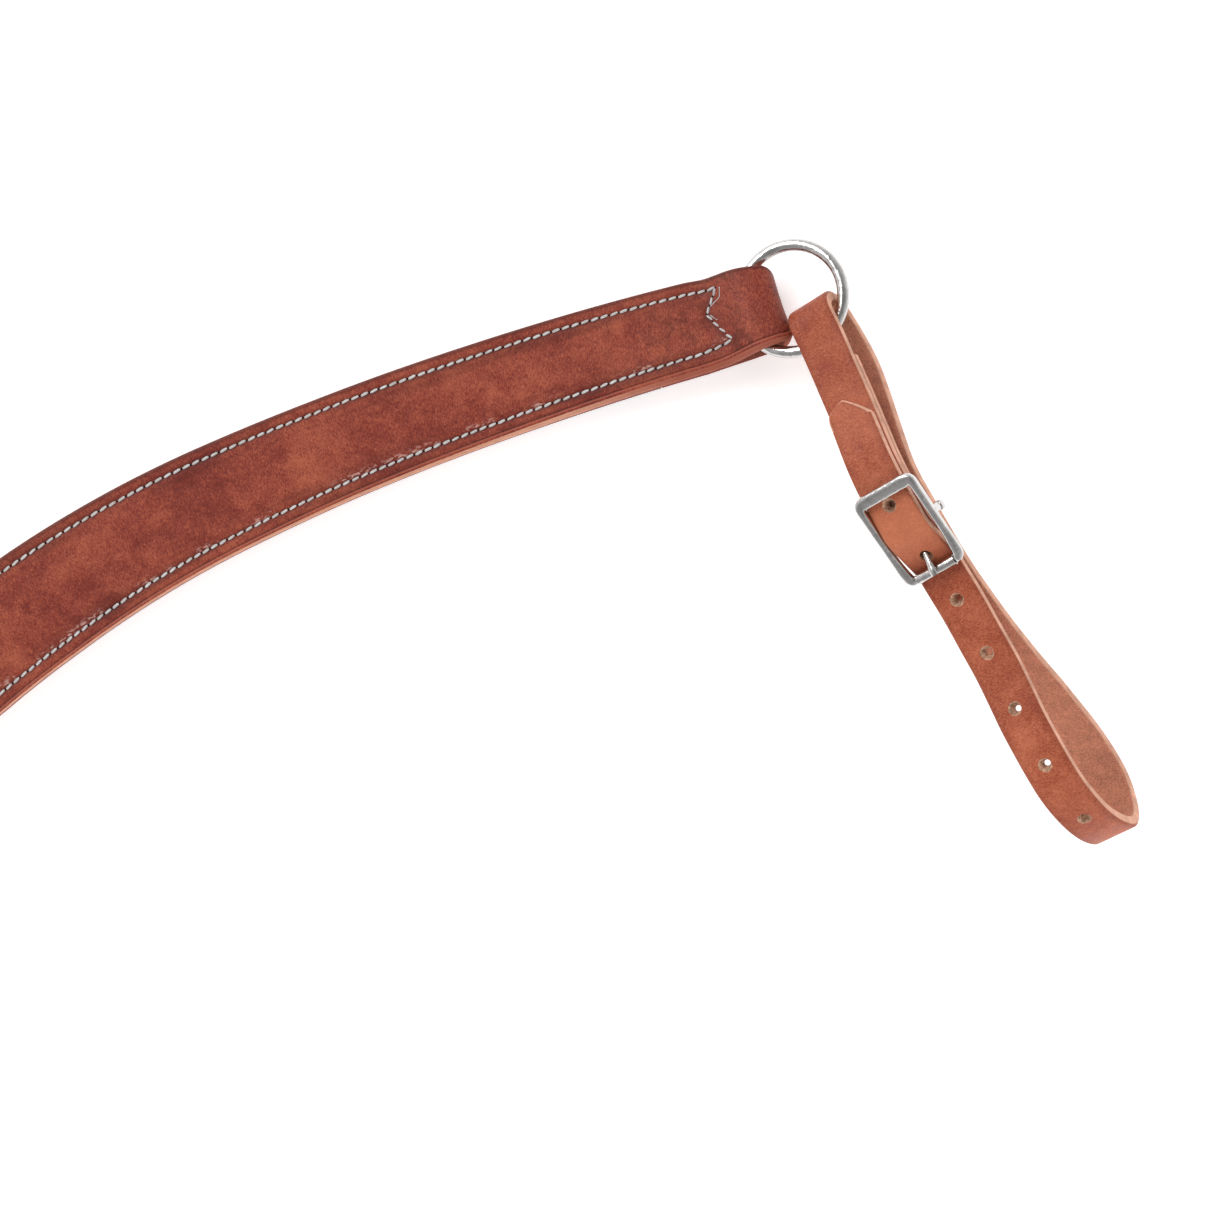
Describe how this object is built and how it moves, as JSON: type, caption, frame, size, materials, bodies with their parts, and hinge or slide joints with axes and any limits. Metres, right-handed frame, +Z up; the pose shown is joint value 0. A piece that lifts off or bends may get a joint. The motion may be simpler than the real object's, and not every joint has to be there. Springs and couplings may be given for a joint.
{
  "type": "breast collar martingale",
  "caption": "Western horse breast-collar martingale: two stitched leather shoulders on rings, buckled tug straps, and a girth strap with a swivel bolt snap.",
  "frame": {"origin": "middle of the outline on the table that the martingale lies on, at z = 0", "axes": "+X towards the right-hand tug, +Y from the snap towards the end rings, +Z up, off the face side of the leather"},
  "size_m": [1.1262, 0.7491, 0.0647],
  "materials": {
    "collar_leather": "oiled russet harness leather, burnished edges",
    "strap_leather": "oiled light russet harness leather",
    "lining_leather": "plain flesh-side leather",
    "seam_thread": "waxed pale grey thread",
    "steel": "polished stainless steel"
  },
  "bodies": {
    "centre_ring": {"centre_ring": "steel"},
    "right_shoulder": {"right_shoulder_front": "collar_leather", "right_shoulder_lining": "lining_leather", "right_seam_thread": "seam_thread"},
    "right_end_ring": {"right_end_ring": "steel"},
    "right_tug": {"right_tug_strap": "strap_leather", "right_buckle_frame": "steel"},
    "right_tongue": {"right_buckle_tongue": "steel"},
    "right_roller": {"right_buckle_roller": "steel"},
    "left_shoulder": {"left_shoulder_front": "collar_leather", "left_shoulder_lining": "lining_leather", "left_seam_thread": "seam_thread"},
    "left_end_ring": {"left_end_ring": "steel"},
    "left_tug": {"left_tug_strap": "strap_leather", "left_buckle_frame": "steel"},
    "left_tongue": {"left_buckle_tongue": "steel"},
    "left_roller": {"left_buckle_roller": "steel"},
    "girth": {"girth_strap": "strap_leather", "upper_screw_post": "steel", "upper_screw": "steel", "lower_screw_post": "steel", "lower_screw": "steel"},
    "snap_swivel": {"snap_swivel": "steel"},
    "snap_body": {"snap_body": "steel", "snap_spring": "steel"},
    "snap_bolt": {"snap_bolt": "steel"}
  },
  "joints": [
    {"name": "right_shoulder_swing", "type": "hinge", "parent": "centre_ring", "child": "right_shoulder", "pos_m": [0, 0.122, 0.0082], "axis": [0, 0, 1], "range_deg": [-35, 1.5]},
    {"name": "right_end_ring_turn", "type": "hinge", "parent": "right_shoulder", "child": "right_end_ring", "pos_m": [0.42443, 0.35078, 0.01783], "axis": [-0.3859, 0.0371, 0.9218], "range_deg": [-3, 70]},
    {"name": "right_tug_swing", "type": "hinge", "parent": "right_end_ring", "child": "right_tug", "pos_m": [0.43777, 0.33504, 0.02405], "axis": [-0.6839, -0.6821, -0.2589], "range_deg": [-30, 10]},
    {"name": "right_tongue_lift", "type": "hinge", "parent": "right_tug", "child": "right_tongue", "pos_m": [0.46876, 0.26096, 0.04445], "axis": [-0.7658, -0.4475, -0.4617], "range_deg": [0, 3.5]},
    {"name": "right_roller_spin", "type": "hinge", "parent": "right_tug", "child": "right_roller", "pos_m": [0.4782, 0.24215, 0.04702], "axis": [0.7658, 0.4475, 0.4617], "continuous": true},
    {"name": "left_shoulder_swing", "type": "hinge", "parent": "centre_ring", "child": "left_shoulder", "pos_m": [0, 0.122, 0.0082], "axis": [0, 0, -1], "range_deg": [-35, 1.5]},
    {"name": "left_end_ring_turn", "type": "hinge", "parent": "left_shoulder", "child": "left_end_ring", "pos_m": [-0.42443, 0.35078, 0.01783], "axis": [-0.3859, -0.0371, -0.9218], "range_deg": [-3, 70]},
    {"name": "left_tug_swing", "type": "hinge", "parent": "left_end_ring", "child": "left_tug", "pos_m": [-0.43777, 0.33504, 0.02405], "axis": [-0.6839, 0.6821, 0.2589], "range_deg": [-30, 10]},
    {"name": "left_tongue_lift", "type": "hinge", "parent": "left_tug", "child": "left_tongue", "pos_m": [-0.46876, 0.26096, 0.04445], "axis": [-0.7658, 0.4475, 0.4617], "range_deg": [0, 3.5]},
    {"name": "left_roller_spin", "type": "hinge", "parent": "left_tug", "child": "left_roller", "pos_m": [-0.4782, 0.24215, 0.04702], "axis": [0.7658, -0.4475, -0.4617], "continuous": true},
    {"name": "girth_swing", "type": "hinge", "parent": "centre_ring", "child": "girth", "pos_m": [0, 0.0951, 0.0082], "axis": [-1, 0, 0], "range_deg": [-50, 50]},
    {"name": "snap_swivel_swing", "type": "hinge", "parent": "girth", "child": "snap_swivel", "pos_m": [0, -0.2845, 0.0082], "axis": [-1, 0, 0], "range_deg": [-60, 60]},
    {"name": "snap_spin", "type": "hinge", "parent": "snap_swivel", "child": "snap_body", "pos_m": [0, -0.3039, 0.0082], "axis": [0, -1, 0], "continuous": true},
    {"name": "snap_bolt_slide", "type": "slide", "parent": "snap_body", "child": "snap_bolt", "axis": [0, 1, 0], "range_m": [0, 0.012], "stiffness_N_per_m": 150, "springref_m": -0.004, "deforming": ["snap_spring"]}
  ]
}
